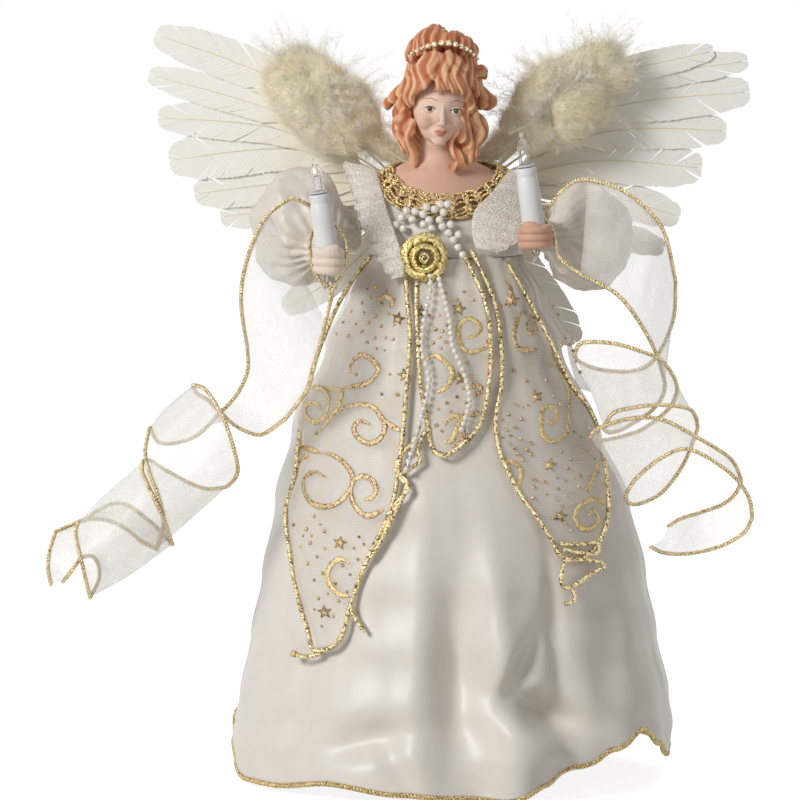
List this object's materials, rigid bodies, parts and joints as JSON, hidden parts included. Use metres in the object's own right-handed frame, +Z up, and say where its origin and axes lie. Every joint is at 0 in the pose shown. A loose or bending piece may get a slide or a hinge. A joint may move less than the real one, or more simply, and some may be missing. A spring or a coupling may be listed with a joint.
{
  "type": "angel tree topper",
  "caption": "Lighted angel figure on a hollow cone that sits on a tree's tip, with feather wings, a satin dress, trailing wired ribbons and candle lamps in its hands.",
  "frame": {"origin": "centre of the cone's mouth, on the plane of its foot rim", "axes": "+Z up through the head, -Y the way that the angel faces, +X its picture right"},
  "size_m": [0.37, 0.2161, 0.3991],
  "materials": {
    "bisque": "matt painted bisque",
    "board": "plain card",
    "clear_glass": "clear drawn glass",
    "cone_board": "plain card",
    "foam": "moulded foam",
    "gold_cord": "metallised gold cord",
    "gold_ribbon": "metallised gold ribbon",
    "goose_feather": "flat cream feather",
    "lace": "white corded lace",
    "marabou": "fluffy cream down",
    "pearl": "pearl lustre",
    "printed_sheer": "sheer organza with gold glitter print",
    "rhinestone": "cut stones in cups",
    "satin": "heavy ivory satin weave, soft sheen",
    "sheer_ribbon": "sheer organza, crisp",
    "steel_wire": "drawn wire",
    "white_plastic": "moulded white plastic",
    "wire_cover": "soft wire insulation"
  },
  "bodies": {
    "figure": {"base_cone": "cone_board", "bisque_head": "bisque", "bodice": "satin", "feather_left_1": "goose_feather", "feather_left_2": "goose_feather", "feather_left_3": "goose_feather", "feather_left_4": "goose_feather", "feather_left_5": "goose_feather", "feather_left_6": "goose_feather", "feather_left_7": "goose_feather", "feather_right_1": "goose_feather", "feather_right_2": "goose_feather", "feather_right_3": "goose_feather", "feather_right_4": "goose_feather", "feather_right_5": "goose_feather", "feather_right_6": "goose_feather", "feather_right_7": "goose_feather", "feather_right_8": "goose_feather", "gold_rosette": "gold_ribbon", "hem_cord": "gold_cord", "lace_collar_left": "lace", "lace_collar_right": "lace", "marabou_left": "marabou", "marabou_right": "marabou", "neck_braid": "gold_cord", "overlay_centre": "printed_sheer", "overlay_cord_centre": "gold_cord", "overlay_cord_left": "gold_cord", "overlay_cord_right": "gold_cord", "overlay_left": "printed_sheer", "overlay_right": "printed_sheer", "overlay_side": "sheer_ribbon", "pearl_cluster": "pearl", "pearl_string_left": "pearl", "pearl_string_right": "pearl", "skirt": "satin", "tiara": "rhinestone", "torso_core": "foam", "wing_card": "board"},
    "arm_left": {"arm_wire_left": "steel_wire", "fist_left": "bisque", "lamp_lead_left": "wire_cover", "lamp_socket_left": "white_plastic", "ribbon_cord_left": "gold_cord", "ribbon_left": "sheer_ribbon", "sleeve_left": "satin"},
    "arm_right": {"arm_wire_right": "steel_wire", "fist_right": "bisque", "lamp_lead_right": "wire_cover", "lamp_socket_right": "white_plastic", "ribbon_cord_right": "gold_cord", "ribbon_right": "sheer_ribbon", "sleeve_right": "satin"},
    "lamp_left": {"lamp_base_left": "white_plastic", "lamp_filament_left": "steel_wire", "lamp_glass_left": "clear_glass"},
    "lamp_right": {"lamp_base_right": "white_plastic", "lamp_filament_right": "steel_wire", "lamp_glass_right": "clear_glass"}
  },
  "joints": [
    {"name": "arm_left_swing", "type": "hinge", "parent": "figure", "child": "arm_left", "pos_m": [-0.0379, 0, 0.2921], "axis": [0, 0, -1], "range_deg": [0, 18]},
    {"name": "arm_right_swing", "type": "hinge", "parent": "figure", "child": "arm_right", "pos_m": [0.0379, 0, 0.2921], "axis": [0, 0, 1], "range_deg": [0, 18]},
    {"name": "lamp_left_pull", "type": "slide", "parent": "arm_left", "child": "lamp_left", "axis": [-0.14, 0, 0.9901], "range_m": [0, 0.014]},
    {"name": "lamp_right_pull", "type": "slide", "parent": "arm_right", "child": "lamp_right", "axis": [-0.14, 0, 0.9901], "range_m": [0, 0.014]}
  ]
}
